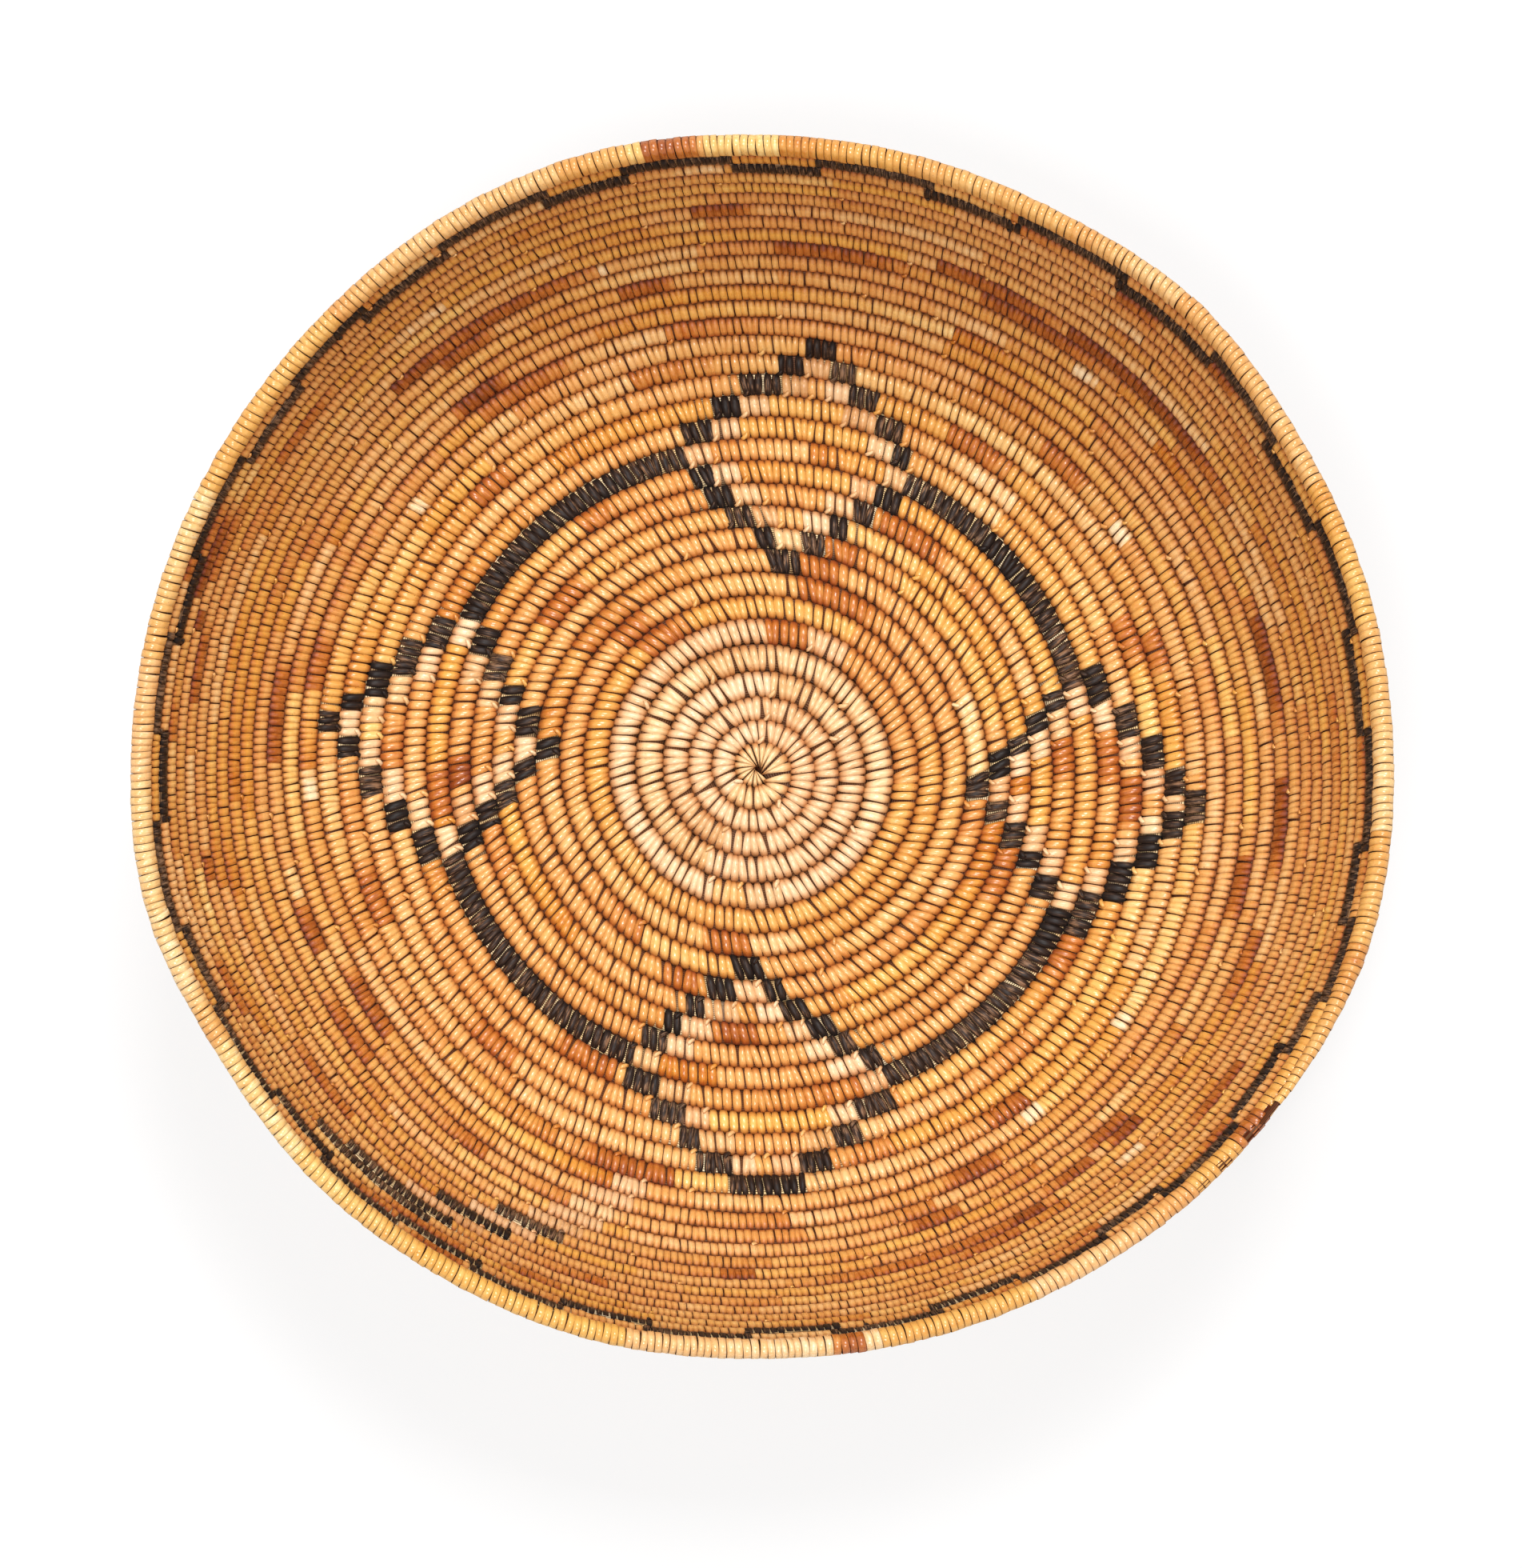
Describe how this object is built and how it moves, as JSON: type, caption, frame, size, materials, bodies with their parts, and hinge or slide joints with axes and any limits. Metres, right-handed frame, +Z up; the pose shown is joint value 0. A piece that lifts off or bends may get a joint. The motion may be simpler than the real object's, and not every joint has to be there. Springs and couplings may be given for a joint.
{
  "type": "coiled basket",
  "caption": "Shallow coiled plant-fibre basket with a flat floor and steep flaring wall, sewn with stepped diamonds, a dark ring and a dark edge line.",
  "frame": {"origin": "centre of the start knot's flat underside, on the surface that the basket stands on", "axes": "+Z up out of the bowl; +Y towards the diamond that is at the top of the picture; +X to the picture's right"},
  "size_m": [0.3267, 0.3189, 0.0927],
  "materials": {
    "pale_sumac": "split sumac strand, matte cream",
    "natural_juncus": "split juncus strand, tan to orange-brown, faint sheen",
    "black_juncus": "dyed juncus strand, brown-black, matte"
  },
  "bodies": {
    "root": {"start_knot": "pale_sumac", "pale_centre_coil": "pale_sumac", "floor_coil": "natural_juncus", "ring_arc_lower_left": "black_juncus", "diamond_row_left": "natural_juncus", "ring_arc_upper_left": "black_juncus", "diamond_row_top": "natural_juncus", "ring_arc_upper_right": "black_juncus", "diamond_row_right": "natural_juncus", "ring_arc_lower_right": "black_juncus", "lower_wall_coil": "natural_juncus", "middle_wall_coil": "natural_juncus", "upper_wall_coil": "natural_juncus", "edge_line_lower_coil": "black_juncus", "edge_line_upper_coil": "black_juncus", "rim_coil": "natural_juncus", "rim_end": "natural_juncus"}
  },
  "joints": []
}
